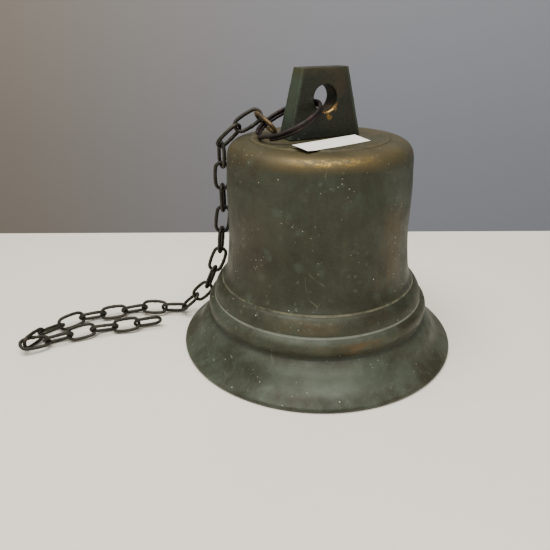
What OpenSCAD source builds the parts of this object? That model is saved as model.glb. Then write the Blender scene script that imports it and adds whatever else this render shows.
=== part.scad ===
// Hand-hung bronze ship bell with a carry ring and a length of chain.
// Millimetres. The mouth stands on z = 0, the bell's axis is Z, and the
// hole through the crown lug runs along Y.

/* [Bell] */
// outside diameter of the bell at its mouth
mouth_diameter = 203; // [80:1:400]
// outside diameter at the narrowest part of the waist
waist_diameter = 127.6; // [60:0.2:300]
// height of the flat crown above the mouth
crown_height = 151.3; // [80:0.1:300]
// thickness of the crown
crown_wall = 8.3; // [3:0.1:20]
// radius of the raised disc on the crown
disc_radius = 46.8; // [20:0.1:60]
// how far the shoulder's curve is squared off
shoulder_power = 3.2; // [2:0.1:5]

/* [Crown lug] */
// width of the lug where it stands on the crown
lug_base_width = 52; // [20:1:80]
// width of the lug at its top
lug_top_width = 33; // [15:1:60]
// thickness of the lug where it stands on the crown
lug_base_thickness = 18; // [8:0.5:30]
// thickness of the lug at its top
lug_top_thickness = 13; // [6:0.5:30]
// height of the lug
lug_height = 43.7; // [20:0.1:80]
// diameter of the hole through the lug
lug_bore = 16; // [6:0.5:25]
// height of that hole above the mouth
lug_bore_height = 176.5; // [160:0.5:190]

/* [Clapper] */
// height of the clapper's pivot above the mouth
pivot_height = 118; // [90:1:130]
// diameter of the pivot pin
pin_diameter = 6; // [3:0.5:10]
// clearance of the pin in the eye, all round
pin_clearance = 0.06; // [0.01:0.01:0.1]
// diameter of the clapper's ball
ball_diameter = 32; // [20:1:50]
// height of the middle of the ball above the mouth
ball_height = 33; // [25:1:60]
// diameter of the clapper's rod
rod_diameter = 10; // [6:0.5:16]

/* [Ring and chain] */
// radius of the split ring, to the middle of its wire
ring_radius = 22; // [15:0.5:40]
// diameter of the split ring's wire
ring_wire = 2.6; // [1.5:0.1:5]
// angle the ring leans down from level
ring_lean = 25.5; // [0:1:40]
// diameter of the chain's wire
link_wire = 2.7; // [1.5:0.1:6]
// clear length inside one link
link_inside = 17.3; // [10:0.1:40]
// clear width inside one link
link_gap = 7.3; // [4:0.1:15]

/* [Label] */
// length of the paper slip
label_length = 53; // [20:1:70]
// width of the paper slip
label_width = 14.5; // [8:1:30]

/* [Hidden] */

$fn = 64;
mr = mouth_diameter / 2;
wr = waist_diameter / 2;

// Outside of the bell from the lip up to the foot of the shoulder.
flank = [
    [mr - 3, 0], [mr - 0.9, 0.5], [mr, 1.8], [mr - 0.8, 3.4],
    [mr - 4.6, 6.4], [mr - 9.2, 10.2], [mr - 12.2, 14], [mr - 14.6, 18.2],
    [mr - 18, 22.3], [mr - 21.3, 25.6], [mr - 21.6, 27], [mr - 20.5, 29.5],
    [mr - 20.1, 32.6], [mr - 20.9, 35.6], [mr - 23, 37.9], [mr - 24.9, 39],
    [mr - 24.7, 41], [mr - 25.2, 43.2], [mr - 26.1, 45.4], [mr - 27.6, 48],
    [mr - 29.4, 50.2], [mr - 30.6, 51], [mr - 31.6, 53.2], [wr + 3.9, 57],
    [wr + 2.4, 63], [wr + 1.4, 71], [wr + 0.5, 81], [wr, 92],
    [wr + 0.1, 102], [wr + 0.2, 112], [wr, 122], [wr - 0.6, 132.8]];

// The shoulder turns over from the flank to the raised disc.
sh_low = [wr - 0.6, 132.8];
sh_top = [disc_radius, crown_height - 0.9];
shoulder = [for (i = [1 : 9]) let (a = i * 9.6)
    [sh_top[0] + (sh_low[0] - sh_top[0]) * pow(cos(a), 2 / shoulder_power),
     sh_low[1] + (sh_top[1] - sh_low[1]) * pow(sin(a), 2 / shoulder_power)]];

// Inside of the bell from the crown down to the lip.
inside = [[5.3, crown_height - crown_wall], [40, crown_height - crown_wall],
    [47, 141.5], [52.5, 137], [55.6, 130], [57, 120], [57.6, 106],
    [57.8, 92], [58.6, 78], [60, 64], [62.2, 52], [65.4, 42], [70, 32],
    [76, 23], [82, 15], [88, 7], [91.5, 2], [92.5, 0]];

// Way the chain runs: off the ring, over the shoulder, down beside the
// waist, over the lip, out along the ground and back again.
route = [[-27.6, 13.9, 155.6], [-33.96, 29.73, 164.05],
    [-50.1, 33.46, 153.81], [-58.7, 34.56, 145.54], [-56.1, 43.56, 126.24],
    [-56.91, 43.14, 119.9], [-56.08, 44.97, 87.26], [-59.32, 45.25, 75.9],
    [-56.11, 47.08, 67.78], [-63.42, 45.62, 54.53], [-71.89, 54.68, 24.57],
    [-80.91, 62.49, 16.5], [-89.59, 70.61, 5], [-97.42, 73.98, 5],
    [-107.75, 75.98, 7.8], [-129.61, 90.3, 5.6], [-135.72, 83.29, 5],
    [-159.99, 89.71, 5.9], [-164.71, 87.3, 7.2], [-186.46, 81.26, 5.6],
    [-212.78, 64.62, 8.1], [-206.33, 43.76, 6.2], [-205.64, 61.67, 5],
    [-165.25, 63.12, 6.8], [-157.61, 62.1, 5.9], [-140.53, 62.64, 5],
    [-139.97, 59.34, 6.5], [-95.86, 54.74, 6.3]];
// How far each link is turned about its own length.
link_roll = [50, -60, 45, 75, 15, -85, -85, 0, -90, -5, -90, -20, 60, -50, 50,
    -40, 50, -55, 15, -95, 25, -50, 55, -50, 45, -60];
// Which of two neighbours a bend turns about: 1 the upper, -1 the lower.
bend_about = [0, 1, 0, -1, -1, 1, 1, 0, 1, 1, 1, 0, 1, 0, -1, -1, -1, 1, 1,
    -1, 1, 1, -1, -1, -1, 0, 0];
half_step = 8.45;
bend_shift = 1.5;

// A link is two round ends joined by two straight sides.
link_bend = (link_gap + link_wire) / 2;
link_straight = link_inside - link_gap;

function part_way(a, b, c, s) =
    let (d = b - a, f = a - c, qa = d * d, qb = 2 * (f * d),
        q = qb * qb - 4 * qa * (f * f - s * s))
    q < 0 ? -1 : (-qb + sqrt(q)) / (2 * qa);
function seek(c, s, i) = let (u = part_way(route[i], route[i + 1], c, s))
    (u >= 0 && u <= 1) ? [route[i] + u * (route[i + 1] - route[i]), i]
    : seek(c, s, i + 1);
function span(k) = 2 * half_step
    + bend_shift * (bend_about[k + 1] - bend_about[k]);
function knots(c, i, k) = k >= len(link_roll) ? [c]
    : let (n = seek(c, span(k), i)) concat([c], knots(n[0], n[1], k + 1));
knot = knots(route[0], 0, 0);

module link_shape() {
    for (m = [0, 1]) mirror([m, 0, 0])
        translate([link_straight / 2, 0, 0]) rotate([0, 0, -90])
            rotate_extrude(angle = 180, $fn = 48)
                translate([link_bend, 0]) circle(d = link_wire, $fn = 24);
    for (s = [-1, 1]) translate([-link_straight / 2, s * link_bend, 0])
        rotate([0, 90, 0]) cylinder(d = link_wire, h = link_straight, $fn = 24);
}

module chain_link(k) {
    d = knot[k + 1] - knot[k];
    a = d / norm(d);
    color([0.20, 0.17, 0.14])
    translate(knot[k] + a * (half_step - bend_shift * bend_about[k]))
        rotate([link_roll[k], -asin(a[2]), atan2(a[1], a[0])]) link_shape();
}

module bell_shell() {
    color([0.27, 0.30, 0.23]) rotate_extrude($fn = 120)
        polygon(concat(flank, shoulder,
            [sh_top, [disc_radius - 0.3, crown_height], [5.3, crown_height]],
            inside));
}

module crown_lug() {
    b = lug_base_width / 2;
    t = lug_top_width / 2;
    bt = lug_base_thickness / 2;
    tt = lug_top_thickness / 2;
    mouth = bt + (tt - bt) * (lug_bore_height - crown_height) / lug_height;
    color([0.22, 0.27, 0.20]) difference() {
        translate([0, 0, crown_height]) intersection() {
            rotate([90, 0, 0]) linear_extrude(60, center = true)
                polygon([[-b, 0], [b, 0], [t, lug_height - 1.2],
                    [t - 1.2, lug_height], [1.2 - t, lug_height],
                    [-t, lug_height - 1.2]]);
            rotate([90, 0, 90]) linear_extrude(80, center = true)
                polygon([[-bt, 0], [bt, 0], [tt, lug_height - 0.8],
                    [tt - 0.8, lug_height], [0.8 - tt, lug_height],
                    [-tt, lug_height - 0.8]]);
        }
        translate([0, 0, lug_bore_height]) rotate([90, 0, 0])
            cylinder(d = lug_bore, h = 60, center = true);
        for (s = [-1, 1]) translate([0, s * (mouth - 0.7), lug_bore_height])
            rotate([-s * 90, 0, 0])
                cylinder(d1 = lug_bore - 0.4, d2 = lug_bore + 3.6, h = 2);
        translate([0, 0, crown_height - 1]) cylinder(d = 10, h = 13);
    }
}

module clapper_eyebolt() {
    color([0.30, 0.27, 0.23]) difference() {
        union() {
            translate([0, 0, 133]) cylinder(d = 9.6, h = 29);
            translate([0, 0, 130]) cylinder(d = 15, h = 3);
            translate([0, 0, pivot_height]) rotate([90, 0, 0])
                cylinder(d = 16, h = 6, center = true);
            translate([-7, -3, pivot_height]) cube([14, 6, 12]);
        }
        translate([0, 0, pivot_height]) rotate([90, 0, 0])
            cylinder(d = pin_diameter + 2 * pin_clearance, h = 20, center = true);
    }
}

module eyebolt_washer() {
    color([0.36, 0.33, 0.28]) translate([0, 0, 141]) difference() {
        cylinder(d = 26, h = crown_height - crown_wall - 141);
        translate([0, 0, -1]) cylinder(d = 10.6, h = 6);
    }
}

module eyebolt_nut() {
    color([0.33, 0.29, 0.24]) translate([0, 0, 133]) difference() {
        linear_extrude(8) polygon([for (i = [0 : 5])
            9.8 * [cos(60 * i + 30), sin(60 * i + 30)]]);
        translate([0, 0, -1]) cylinder(d = 10.2, h = 12);
    }
}

module clapper_fork() {
    color([0.24, 0.21, 0.18]) difference() {
        union() {
            for (s = [-1, 1]) {
                translate([0, s * 5.4, pivot_height]) rotate([90, 0, 0])
                    cylinder(d = 15, h = 4, center = true);
                translate([-6, s * 5.4 - 2, 99]) cube([12, 4, pivot_height - 99]);
            }
            translate([-6, -7.4, 97]) cube([12, 14.8, 8]);
            translate([0, 0, ball_height + 15]) cylinder(d = rod_diameter,
                h = 98 - ball_height - 15);
            translate([0, 0, 14]) cylinder(d = 7.94, h = ball_height + 1.5);
        }
        translate([0, 0, pivot_height]) rotate([90, 0, 0])
            cylinder(d = pin_diameter, h = 30, center = true);
    }
}

module clapper_pin() {
    color([0.42, 0.38, 0.32]) translate([0, 0, pivot_height]) difference() {
        union() {
            translate([0, -9, 0]) rotate([-90, 0, 0])
                cylinder(d = pin_diameter, h = 20.9);
            translate([0, -7.4, 0]) rotate([90, 0, 0]) cylinder(d = 9.5, h = 2.2);
        }
        translate([0, 9.9, -5]) cylinder(d = 1.8, h = 10, $fn = 24);
    }
}

module pin_cotter() {
    color([0.50, 0.46, 0.38]) translate([0, 9.9, pivot_height]) {
        translate([0, 0, -6]) cylinder(d = 1.6, h = 10.3, $fn = 24);
        translate([0, 0, 5.2]) rotate([0, 90, 0]) rotate_extrude($fn = 36)
            translate([1.5, 0]) circle(d = 1.1, $fn = 20);
    }
}

module clapper_ball() {
    color([0.26, 0.22, 0.19]) translate([0, 0, ball_height]) difference() {
        intersection() {
            sphere(d = ball_diameter, $fn = 96);
            translate([0, 0, -15]) cylinder(d = 60, h = 30);
        }
        translate([0, 0, -20]) cylinder(d = 8, h = 40);
    }
}

module ball_nut() {
    color([0.36, 0.32, 0.27]) difference() {
        union() {
            translate([0, 0, 12]) linear_extrude(6) polygon([for (i = [0 : 5])
                7.5 * [cos(60 * i), sin(60 * i)]]);
            translate([0, 0, 9]) cylinder(d1 = 7, d2 = 12, h = 3);
        }
        translate([0, 0, 13.5]) cylinder(d = 8, h = 6);
    }
}

module split_ring() {
    color([0.17, 0.13, 0.11])
    translate([-22.56, 0, 163.33]) rotate([0, -ring_lean, 0])
        for (s = [-1, 1]) translate([0, 0, s * 1.2])
            rotate_extrude($fn = 120) translate([ring_radius, 0])
                circle(d = ring_wire, $fn = 24);
}

module lot_label() {
    color([0.90, 0.89, 0.85])
    translate([-5.1, -37.1, crown_height]) rotate([0, 0, 14])
        rotate([8, 0, 0]) translate([-label_length / 2, 0, 0])
            cube([label_length, label_width, 0.3]);
}

module chain_link_01() chain_link(0);
module chain_link_02() chain_link(1);
module chain_link_03() chain_link(2);
module chain_link_04() chain_link(3);
module chain_link_05() chain_link(4);
module chain_link_06() chain_link(5);
module chain_link_07() chain_link(6);
module chain_link_08() chain_link(7);
module chain_link_09() chain_link(8);
module chain_link_10() chain_link(9);
module chain_link_11() chain_link(10);
module chain_link_12() chain_link(11);
module chain_link_13() chain_link(12);
module chain_link_14() chain_link(13);
module chain_link_15() chain_link(14);
module chain_link_16() chain_link(15);
module chain_link_17() chain_link(16);
module chain_link_18() chain_link(17);
module chain_link_19() chain_link(18);
module chain_link_20() chain_link(19);
module chain_link_21() chain_link(20);
module chain_link_22() chain_link(21);
module chain_link_23() chain_link(22);
module chain_link_24() chain_link(23);
module chain_link_25() chain_link(24);
module chain_link_26() chain_link(25);

bell_shell();
crown_lug();
clapper_eyebolt();
eyebolt_washer();
eyebolt_nut();
clapper_fork();
clapper_pin();
pin_cotter();
clapper_ball();
ball_nut();
split_ring();
lot_label();
chain_link_01();
chain_link_02();
chain_link_03();
chain_link_04();
chain_link_05();
chain_link_06();
chain_link_07();
chain_link_08();
chain_link_09();
chain_link_10();
chain_link_11();
chain_link_12();
chain_link_13();
chain_link_14();
chain_link_15();
chain_link_16();
chain_link_17();
chain_link_18();
chain_link_19();
chain_link_20();
chain_link_21();
chain_link_22();
chain_link_23();
chain_link_24();
chain_link_25();
chain_link_26();
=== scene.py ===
import math

import bmesh
import bpy
import numpy as np
from mathutils import Matrix, Vector, noise


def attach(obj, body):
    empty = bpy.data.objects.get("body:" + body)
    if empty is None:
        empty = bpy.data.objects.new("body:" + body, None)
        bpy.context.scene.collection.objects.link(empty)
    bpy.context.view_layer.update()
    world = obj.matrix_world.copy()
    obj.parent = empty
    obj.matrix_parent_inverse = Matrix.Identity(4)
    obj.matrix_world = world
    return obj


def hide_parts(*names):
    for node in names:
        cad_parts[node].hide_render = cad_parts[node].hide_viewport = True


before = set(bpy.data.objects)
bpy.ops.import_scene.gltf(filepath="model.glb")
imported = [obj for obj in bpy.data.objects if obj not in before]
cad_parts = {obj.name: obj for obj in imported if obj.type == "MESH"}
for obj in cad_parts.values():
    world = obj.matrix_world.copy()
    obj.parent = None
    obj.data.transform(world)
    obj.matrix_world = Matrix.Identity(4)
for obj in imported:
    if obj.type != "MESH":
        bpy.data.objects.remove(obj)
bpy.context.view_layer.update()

MM = 0.001
RNG = np.random.default_rng(512)

# ------------------------------------------------------------------ camera
YAW, PITCH, ROLL = (math.radians(a) for a in (-4.9959, 25.0015, -0.7541))
TURN = math.radians(28)


def turned(v):
    """From the camera's own frame to the part's frame."""
    c, s = math.cos(-TURN), math.sin(-TURN)
    return Vector((c * v[0] - s * v[1], s * v[0] + c * v[1], v[2]))


def make_camera():
    fwd = Vector((math.sin(YAW) * math.cos(PITCH), math.cos(YAW) * math.cos(PITCH),
                  -math.sin(PITCH)))
    right = Vector((math.cos(YAW), -math.sin(YAW), 0))
    up = right.cross(fwd)
    c, s = math.cos(ROLL), math.sin(ROLL)
    r2 = right * c + up * s
    u2 = up * c - right * s
    r2, u2, f2 = turned(r2), turned(u2), turned(fwd)
    pos = turned((0, -0.35803, 0.21489))
    cam = bpy.data.objects.new("camera", bpy.data.cameras.new("camera"))
    cam.data.sensor_width = 36
    cam.data.lens = 36 * 520 / 550
    cam.data.clip_start = 0.01
    m = Matrix(((r2[0], u2[0], -f2[0], pos[0]), (r2[1], u2[1], -f2[1], pos[1]),
                (r2[2], u2[2], -f2[2], pos[2]), (0, 0, 0, 1)))
    cam.matrix_world = m
    bpy.context.scene.collection.objects.link(cam)
    bpy.context.scene.camera = cam


make_camera()


# ------------------------------------------------------------- node helpers
def srgb(r, g, b):
    return tuple(((x / 255 / 12.92) if x / 255 <= 0.04045
                  else ((x / 255 + 0.055) / 1.055) ** 2.4) for x in (r, g, b)) + (1.0,)


class Mat:
    """A short way to write node materials."""

    def __init__(self, name):
        self.m = bpy.data.materials.new(name)
        self.m.use_nodes = True
        self.t = self.m.node_tree
        self.bsdf = next(n for n in self.t.nodes if n.type == "BSDF_PRINCIPLED")
        self.coord = self.t.nodes.new("ShaderNodeTexCoord")
        self.obj = self.coord.outputs["Object"]

    def put(self, socket, v):
        if isinstance(v, bpy.types.NodeSocket):
            self.t.links.new(v, socket)
        else:
            if hasattr(socket.default_value, "__len__") and not hasattr(v, "__len__"):
                v = (v, v, v)
            socket.default_value = v

    def mapped(self, scale, loc=(0, 0, 0), rot=(0, 0, 0)):
        n = self.t.nodes.new("ShaderNodeMapping")
        self.put(n.inputs["Vector"], self.obj)
        n.inputs["Scale"].default_value = scale if hasattr(scale, "__len__") else (scale,) * 3
        n.inputs["Location"].default_value = loc
        n.inputs["Rotation"].default_value = rot
        return n.outputs[0]

    def noise(self, scale, detail=4, rough=0.55, vec=None, dist=0.0, lac=2.0):
        n = self.t.nodes.new("ShaderNodeTexNoise")
        self.put(n.inputs["Vector"], vec if vec is not None else self.obj)
        n.inputs["Scale"].default_value = scale
        n.inputs["Detail"].default_value = detail
        n.inputs["Roughness"].default_value = rough
        n.inputs["Lacunarity"].default_value = lac
        n.inputs["Distortion"].default_value = dist
        return n.outputs[0]

    def noise_col(self, scale, detail=2, vec=None):
        n = self.t.nodes.new("ShaderNodeTexNoise")
        self.put(n.inputs["Vector"], vec if vec is not None else self.obj)
        n.inputs["Scale"].default_value = scale
        n.inputs["Detail"].default_value = detail
        return n.outputs[1]

    def voronoi(self, scale, out="Distance", feature="F1", rand=1.0, vec=None):
        n = self.t.nodes.new("ShaderNodeTexVoronoi")
        n.feature = feature
        self.put(n.inputs["Vector"], vec if vec is not None else self.obj)
        n.inputs["Scale"].default_value = scale
        n.inputs["Randomness"].default_value = rand
        return n.outputs[out]

    def ramp(self, v, lo, hi, a=0.0, b=1.0, smooth=True):
        n = self.t.nodes.new("ShaderNodeMapRange")
        n.interpolation_type = "SMOOTHSTEP" if smooth else "LINEAR"
        self.put(n.inputs["Value"], v)
        n.inputs["From Min"].default_value = lo
        n.inputs["From Max"].default_value = hi
        n.inputs["To Min"].default_value = a
        n.inputs["To Max"].default_value = b
        return n.outputs[0]

    def math(self, op, a, b=0.0, clamp=False):
        n = self.t.nodes.new("ShaderNodeMath")
        n.operation = op
        n.use_clamp = clamp
        self.put(n.inputs[0], a)
        self.put(n.inputs[1], b)
        return n.outputs[0]

    def mul(self, *v):
        out = v[0]
        for x in v[1:]:
            out = self.math("MULTIPLY", out, x)
        return out

    def add(self, *v):
        out = v[0]
        for x in v[1:]:
            out = self.math("ADD", out, x)
        return out

    def mix(self, f, a, b):
        n = self.t.nodes.new("ShaderNodeMix")
        n.data_type = "RGBA"
        self.put(n.inputs[0], f)
        self.put(n.inputs[6], a)
        self.put(n.inputs[7], b)
        return n.outputs[2]

    def vadd(self, a, b):
        n = self.t.nodes.new("ShaderNodeVectorMath")
        n.operation = "ADD"
        self.put(n.inputs[0], a)
        self.put(n.inputs[1], b)
        return n.outputs[0]

    def vscale(self, a, k):
        n = self.t.nodes.new("ShaderNodeVectorMath")
        n.operation = "SCALE"
        self.put(n.inputs[0], a)
        n.inputs["Scale"].default_value = k
        return n.outputs[0]

    def xyz(self):
        n = self.t.nodes.new("ShaderNodeSeparateXYZ")
        self.put(n.inputs[0], self.obj)
        return n.outputs[0], n.outputs[1], n.outputs[2]

    def bump(self, h, strength, dist, normal=None):
        n = self.t.nodes.new("ShaderNodeBump")
        n.inputs["Strength"].default_value = strength
        n.inputs["Distance"].default_value = dist
        self.put(n.inputs["Height"], h)
        if normal is not None:
            self.put(n.inputs["Normal"], normal)
        return n.outputs[0]

    def pointiness(self):
        return self.t.nodes.new("ShaderNodeNewGeometry").outputs["Pointiness"]

    def ao(self, dist, inside=False):
        n = self.t.nodes.new("ShaderNodeAmbientOcclusion")
        n.inputs["Distance"].default_value = dist
        n.samples = 6
        n.inside = inside
        return n.outputs["AO"]

    def done(self, color, rough, metal, normal=None, spec=None):
        self.put(self.bsdf.inputs["Base Color"], color)
        self.put(self.bsdf.inputs["Roughness"], rough)
        self.put(self.bsdf.inputs["Metallic"], metal)
        if normal is not None:
            self.put(self.bsdf.inputs["Normal"], normal)
        if spec is not None:
            self.bsdf.inputs["Specular IOR Level"].default_value = spec
        return self.m


# --------------------------------------------------------------- materials
def bell_material():
    k = Mat("bell_bronze_patina")
    x, y, z = k.xyz()
    # across and towards the side the bell is mostly seen from
    kx = k.add(k.mul(x, 0.883), k.mul(y, -0.469))
    front = k.ramp(k.add(k.mul(x, 0.469), k.mul(y, 0.883)), 0.02, -0.03)
    warp = k.vadd(k.obj, k.vscale(k.noise_col(45, 3), 0.016))
    olive = srgb(42, 44, 29)
    umber = srgb(49, 43, 26)
    dark = srgb(31, 32, 20)
    green = srgb(74, 82, 68)
    # broad drifts of olive and brown
    col = k.mix(k.ramp(k.noise(14, 6, 0.62, warp), 0.38, 0.66), olive, umber)
    col = k.mix(k.ramp(k.noise(34, 7, 0.66, k.vadd(warp, (3.1, 1.7, 0.4))), 0.46, 0.68, 0, 0.6), col, dark)
    # fine run marks down the waist
    runs = k.noise(1.0, 5, 0.6, k.mapped((150, 150, 16), (0.2, 0.7, 0)))
    col = k.mix(k.ramp(runs, 0.5, 0.72, 0, 0.32), col, srgb(64, 66, 49))
    # grey-green bloom, stronger on the flare and the low band faces
    low = k.ramp(z, 0.058, 0.022)
    bloom = k.noise(22, 8, 0.7, k.vadd(warp, (7.3, 2.2, 5.1)))
    col = k.mix(k.mul(k.ramp(bloom, 0.38, 0.66), k.add(0.22, k.mul(low, 0.62))), col, green)
    # a cooler, greener belt just below the shoulder
    belt = k.mul(k.ramp(z, 0.104, 0.122), k.ramp(z, 0.146, 0.136), k.ramp(k.noise(30, 5, 0.65, k.vadd(warp, (2, 5, 1))), 0.36, 0.62))
    col = k.mix(k.mul(belt, 0.55), col, srgb(56, 67, 54))
    # brown on the crown and over the shoulder
    top = k.ramp(z, 0.136, 0.149)
    gold = k.mix(k.ramp(k.noise(38, 5, 0.6, warp), 0.35, 0.7), srgb(78, 68, 40), srgb(65, 61, 39))
    col = k.mix(k.mul(top, k.ramp(k.noise(26, 4, 0.6, k.vadd(warp, (1.3, 9.2, 0))), 0.30, 0.62, 0.5, 0.95)), col, gold)
    # copper-brown stains: low on the bands, and one long one beside the front
    st = k.ramp(k.noise(48, 5, 0.65, k.vadd(warp, (4, 4, 4))), 0.34, 0.6)
    s1 = k.mul(k.ramp(kx, -0.008, 0.018), k.ramp(kx, 0.050, 0.030), k.ramp(z, 0.0265, 0.030), k.ramp(z, 0.0375, 0.035), front)
    s2 = k.mul(k.ramp(kx, -0.040, -0.015), k.ramp(kx, 0.030, 0.005), k.ramp(z, 0.040, 0.043), k.ramp(z, 0.051, 0.048), front)
    s3 = k.mul(k.ramp(kx, 0.034, 0.046), k.ramp(kx, 0.058, 0.050), k.ramp(z, 0.055, 0.072), k.ramp(z, 0.125, 0.100), front)
    col = k.mix(k.mul(s1, st, 0.8), col, srgb(90, 70, 42))
    col = k.mix(k.mul(s2, st, 0.5), col, srgb(84, 70, 46))
    col = k.mix(k.mul(s3, k.ramp(k.noise(1.0, 4, 0.6, k.mapped((110, 110, 12))), 0.36, 0.6), 0.55), col, srgb(84, 66, 42))
    # painted highlight: the flare straight ahead is made pale grey in place of the light it reflects there
    flare_painted_highlight = k.mul(k.ramp(k.math("ABSOLUTE", k.add(kx, -0.004)), 0.045, 0.008), k.ramp(z, 0.006, 0.012), k.ramp(z, 0.025, 0.017), front)
    col = k.mix(k.mul(flare_painted_highlight, k.ramp(k.noise(34, 5, 0.6, warp), 0.25, 0.6, 0.4, 1.0), 0.7), col, srgb(104, 111, 98))
    # soft round blooms, from a millimetre or two to six across
    cell = k.voronoi(88, vec=k.vadd(k.obj, k.vscale(k.noise_col(150, 3), 0.006)))
    gate = k.ramp(k.noise(17, 3, 0.5, k.vadd(k.obj, (2, 4, 8))), 0.46, 0.66)
    col = k.mix(k.mul(k.ramp(cell, 0.40, 0.12), gate, 0.5), col, srgb(70, 80, 66))
    cell2 = k.voronoi(185, vec=k.vadd(k.vadd(k.obj, k.vscale(k.noise_col(260, 2), 0.003)), (5, 5, 5)))
    gate2 = k.ramp(k.noise(30, 3, 0.5, k.vadd(k.obj, (8, 1, 2))), 0.46, 0.64)
    col = k.mix(k.mul(k.ramp(cell2, 0.30, 0.10), gate2, 0.5), col, srgb(84, 91, 75))
    # pale flecks, no more than half a millimetre
    fleck = k.voronoi(330, vec=k.vadd(k.obj, (1, 2, 3)))
    gate3 = k.ramp(k.noise(40, 4, 0.6, k.vadd(k.obj, (0, 6, 1))), 0.50, 0.64)
    fl1 = k.mul(k.ramp(fleck, 0.17, 0.08), gate3)
    fleck2 = k.voronoi(120, vec=k.vadd(k.obj, (11, 2, 6)))
    fl2 = k.mul(k.ramp(fleck2, 0.055, 0.03), k.ramp(k.noise(75, 2, 0.5, k.vadd(k.obj, (3, 6, 7))), 0.44, 0.5))
    flecks = k.math("MAXIMUM", k.mul(fl1, 0.55), fl2)
    col = k.mix(flecks, col, srgb(196, 196, 176))
    # darker in the grooves; dull paler metal on the high edges
    pt = k.pointiness()
    col = k.mix(k.ramp(pt, 0.495, 0.478, 0, 0.35), col, srgb(40, 39, 29))
    edge = k.mul(k.ramp(pt, 0.508, 0.535), k.ramp(k.noise(120, 5, 0.7), 0.40, 0.64), k.ramp(z, 0.006, 0.012))
    col = k.mix(k.mul(edge, 0.55), col, srgb(128, 118, 86))
    # polish left in the two fine grooves
    def near(level, w):
        return k.ramp(k.math("ABSOLUTE", k.math("SUBTRACT", z, level)), w, w * 0.45)
    seam = k.mul(near(0.0395, 0.0010), k.ramp(k.noise(60, 5, 0.7, k.vadd(k.obj, (1, 0, 5))), 0.30, 0.52, 0.35, 1.0))
    col = k.mix(k.mul(seam, 0.85), col, srgb(132, 136, 124))
    seam2 = k.mul(near(0.0519, 0.0009), k.ramp(k.noise(52, 5, 0.7, k.vadd(k.obj, (7, 0, 2))), 0.38, 0.58, 0.1, 0.9))
    col = k.mix(k.mul(seam2, 0.7), col, srgb(128, 124, 100))
    # painted shade: a darker strip in the crease under the low band
    under = k.mul(k.ramp(z, 0.0225, 0.0250), k.ramp(z, 0.0282, 0.0262))
    col = k.mix(k.mul(under, 0.5), col, srgb(38, 38, 29))
    # where the shoulder has been rubbed back to brass (real wear), with painted highlight: a broad brassy sheen and a
    # bright glint across its front
    rub_glint_z = k.mul(k.ramp(z, 0.1432, 0.1458), k.ramp(z, 0.1492, 0.1472))
    face = k.mul(front, k.ramp(kx, -0.022, -0.002), k.ramp(kx, 0.040, 0.020))
    rub_wear_and_glint = k.mul(rub_glint_z, face, k.ramp(k.noise(190, 6, 0.8, k.mapped((1, 1, 2.6))), 0.44, 0.62))
    # painted highlight: a broad brassy sheen over the front of the shoulder
    wide = k.mul(k.ramp(z, 0.1395, 0.1455), k.ramp(z, 0.1515, 0.1480), front, k.ramp(kx, -0.045, -0.015), k.ramp(kx, 0.055, 0.025))
    col = k.mix(k.mul(wide, 0.5), col, srgb(104, 86, 50))
    col = k.mix(k.mul(rub_wear_and_glint, 0.55), col, srgb(160, 132, 70))
    # a few short thin scratches
    s1v = k.voronoi(1.0, "Distance", "DISTANCE_TO_EDGE",
                    vec=k.vadd(k.mapped((60, 60, 22), (0, 0, 0), (0.6, 0.35, 0.2)), k.vscale(k.noise_col(30, 1), 0.3)))
    s1m = k.mul(k.ramp(s1v, 0.016, 0.004), k.ramp(k.noise(48, 2, 0.5, k.vadd(k.obj, (4, 4, 1))), 0.64, 0.70))
    col = k.mix(k.mul(s1m, 0.28), col, srgb(120, 118, 98))
    # micro
    grain = k.noise(700, 5, 0.75)
    col = k.mix(k.ramp(grain, 0.40, 0.75, 0, 0.25), col, srgb(72, 72, 53))
    col = k.mix(k.ramp(grain, 0.50, 0.25, 0, 0.25), col, srgb(34, 34, 26))
    rough = k.add(k.ramp(k.noise(60, 5, 0.6), 0.3, 0.7, 0.46, 0.62), k.mul(rub_wear_and_glint, -0.18), k.mul(flecks, 0.1))
    metal = k.add(k.ramp(k.noise(30, 5, 0.6, k.vadd(warp, (3.1, 1.7, 0.4))), 0.35, 0.65, 0.18, 0.36), k.mul(rub_wear_and_glint, 0.45), k.mul(wide, 0.15))
    h = k.add(k.mul(k.noise(420, 6, 0.65), 0.5), k.mul(k.noise(1500, 3, 0.6), 0.25),
              k.mul(k.ramp(k.voronoi(330, vec=k.vadd(k.obj, (9, 3, 7))), 0.0, 0.22, -0.5, 0.0),
                    k.ramp(k.noise(36, 2, 0.5), 0.5, 0.62)),
              k.mul(s1m, -0.4), k.mul(flecks, 0.3))
    turned_marks = k.noise(1.0, 2, 0.5, k.mapped((6, 6, 1400)))
    h = k.add(h, k.mul(turned_marks, 0.22))
    return k.done(col, rough, metal, k.bump(h, 0.55, 0.00035), 0.4)


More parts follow.
